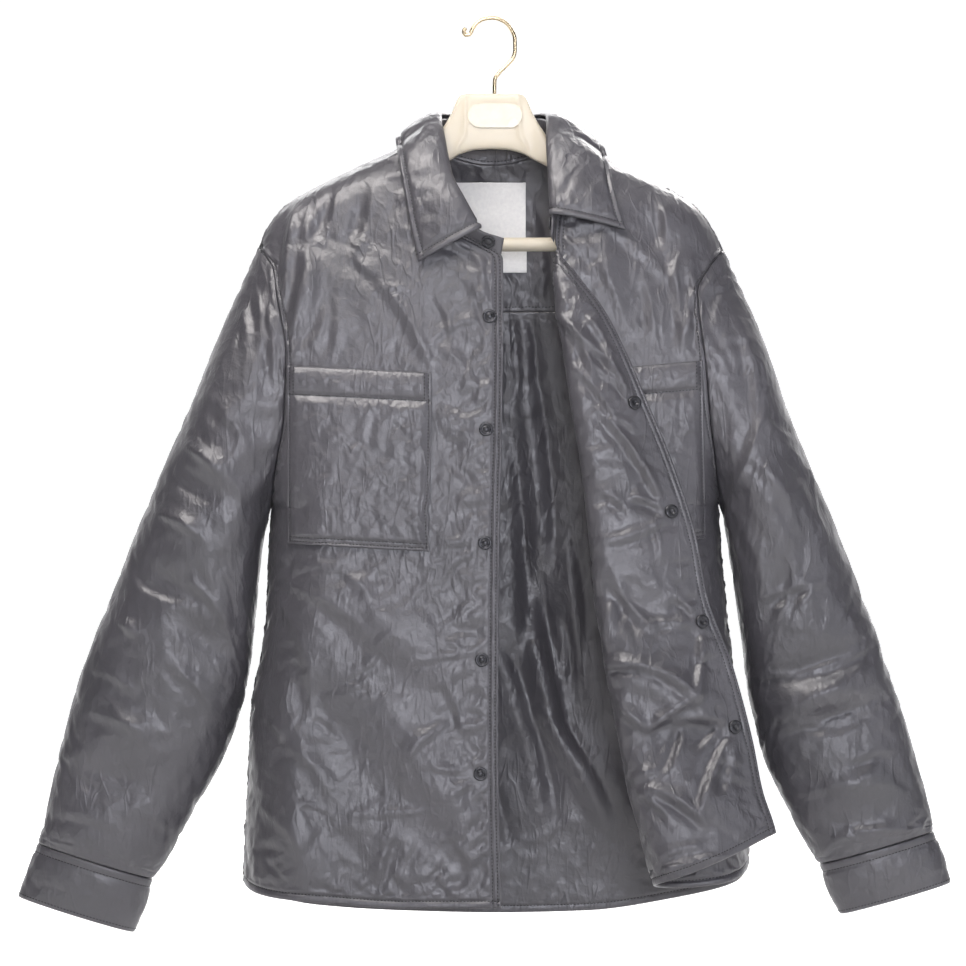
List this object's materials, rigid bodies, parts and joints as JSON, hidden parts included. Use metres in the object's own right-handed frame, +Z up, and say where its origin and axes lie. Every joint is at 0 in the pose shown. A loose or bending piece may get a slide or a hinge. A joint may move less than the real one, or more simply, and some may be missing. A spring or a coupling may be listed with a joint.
{
  "type": "padded shirt-jacket on a clothes hanger",
  "caption": "Lightly padded glossy nylon shirt-jacket with collar, chest pockets and snap front, hanging open with one front turned back, on a moulded hanger with a wire hook.",
  "frame": {"origin": "inner top of the hook, where a rail carries it", "axes": "+Z up, the jacket's front faces -Y, the wearer's right side is at -X"},
  "size_m": [0.933, 0.2257, 0.916],
  "materials": {
    "nylon": "glossy crumpled nylon",
    "ivory_plastic": "semi-gloss moulded plastic",
    "brass": "polished pale brass",
    "snap_metal": "dark satin metal",
    "label": "white woven tape"
  },
  "bodies": {
    "root": {"front_right": "nylon", "front_left": "nylon", "yoke": "nylon", "back": "nylon", "sleeve_right": "nylon", "sleeve_left": "nylon", "cuff_right": "nylon", "cuff_left": "nylon", "collar_stand": "nylon", "collar_leaf": "nylon", "pocket_right": "nylon", "pocket_left": "nylon", "stud_1": "snap_metal", "stud_2": "snap_metal", "stud_3": "snap_metal", "stud_4": "snap_metal", "stud_5": "snap_metal", "socket_1": "snap_metal", "socket_2": "snap_metal", "socket_3": "snap_metal", "socket_4": "snap_metal", "stud_collar": "snap_metal", "socket_collar": "snap_metal", "neck_label": "label", "neck_tag": "label", "hanger_body": "ivory_plastic", "trouser_bar": "ivory_plastic", "hanger_plate": "brass", "hook": "brass"}
  },
  "joints": []
}
